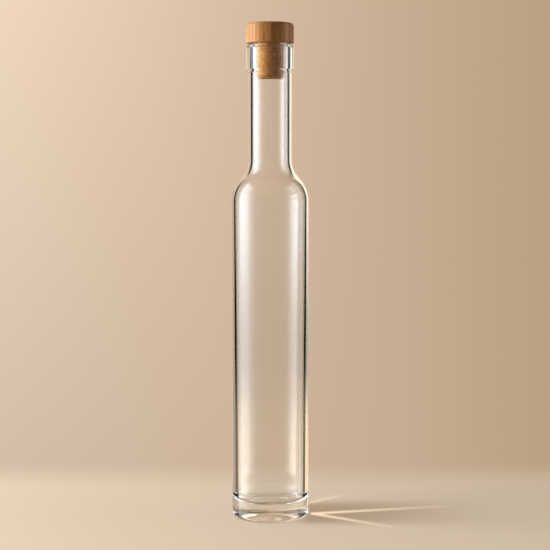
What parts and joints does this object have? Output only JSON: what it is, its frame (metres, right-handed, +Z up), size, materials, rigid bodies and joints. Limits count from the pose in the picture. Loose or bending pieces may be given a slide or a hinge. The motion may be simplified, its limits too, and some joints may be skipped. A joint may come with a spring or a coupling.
{
  "type": "stoppered bottle",
  "caption": "Tall slim bottle of clear glass with a round shoulder, straight neck and plain collar, closed by a cork stopper with a turned wooden head that pulls straight out.",
  "frame": {"origin": "centre of the flat ring that the bottle stands on", "axes": "+Z up along the bottle's axis, from the base to the stopper; the bottle is turned, so +X and +Y are alike"},
  "size_m": [0.052, 0.052, 0.3341],
  "materials": {
    "clear_glass": "clear, fire-polished, colourless",
    "turned_wood": "turned and sanded, grain upright, satin",
    "cork": "fine natural cork, matt",
    "set_glue": "set glue, hidden"
  },
  "bodies": {
    "bottle": {"glass_bottle": "clear_glass"},
    "stopper": {"stopper_head": "turned_wood", "cork_shank": "cork", "glue_disc": "set_glue"}
  },
  "joints": [
    {"name": "stopper_pull", "type": "slide", "parent": "bottle", "child": "stopper", "axis": [0, 0, 1], "range_m": [0, 0.05]}
  ]
}
